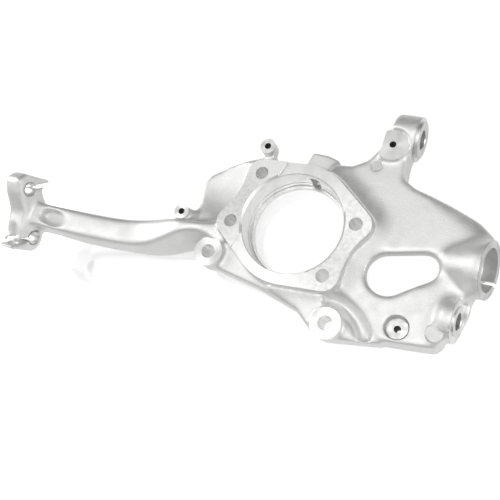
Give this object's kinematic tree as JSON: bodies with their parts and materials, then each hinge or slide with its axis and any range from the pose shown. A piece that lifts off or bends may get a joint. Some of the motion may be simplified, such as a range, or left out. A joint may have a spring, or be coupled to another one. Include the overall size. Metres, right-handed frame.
{
  "type": "steering knuckle",
  "caption": "Cast aluminium front steering knuckle: round hub bore in a bolt flange, gooseneck arm to a slit clamp head, tie-rod arm, caliper ears and lower ball-joint bosses.",
  "frame": {"origin": "centre of the hub bore, level with the hub face", "axes": "+Z outboard along the wheel axis, +X from the gooseneck towards the lower ball joints, +Y towards the tie-rod arm"},
  "size_m": [0.4449, 0.2282, 0.0971],
  "materials": {
    "cast_aluminium": "fine-grained cast skin, milled on its faces and bores",
    "sleeve_steel": "turned steel"
  },
  "bodies": {
    "root": {"knuckle_casting": "cast_aluminium", "tie_rod_sleeve": "sleeve_steel", "ball_joint_sleeve": "sleeve_steel"}
  },
  "joints": []
}
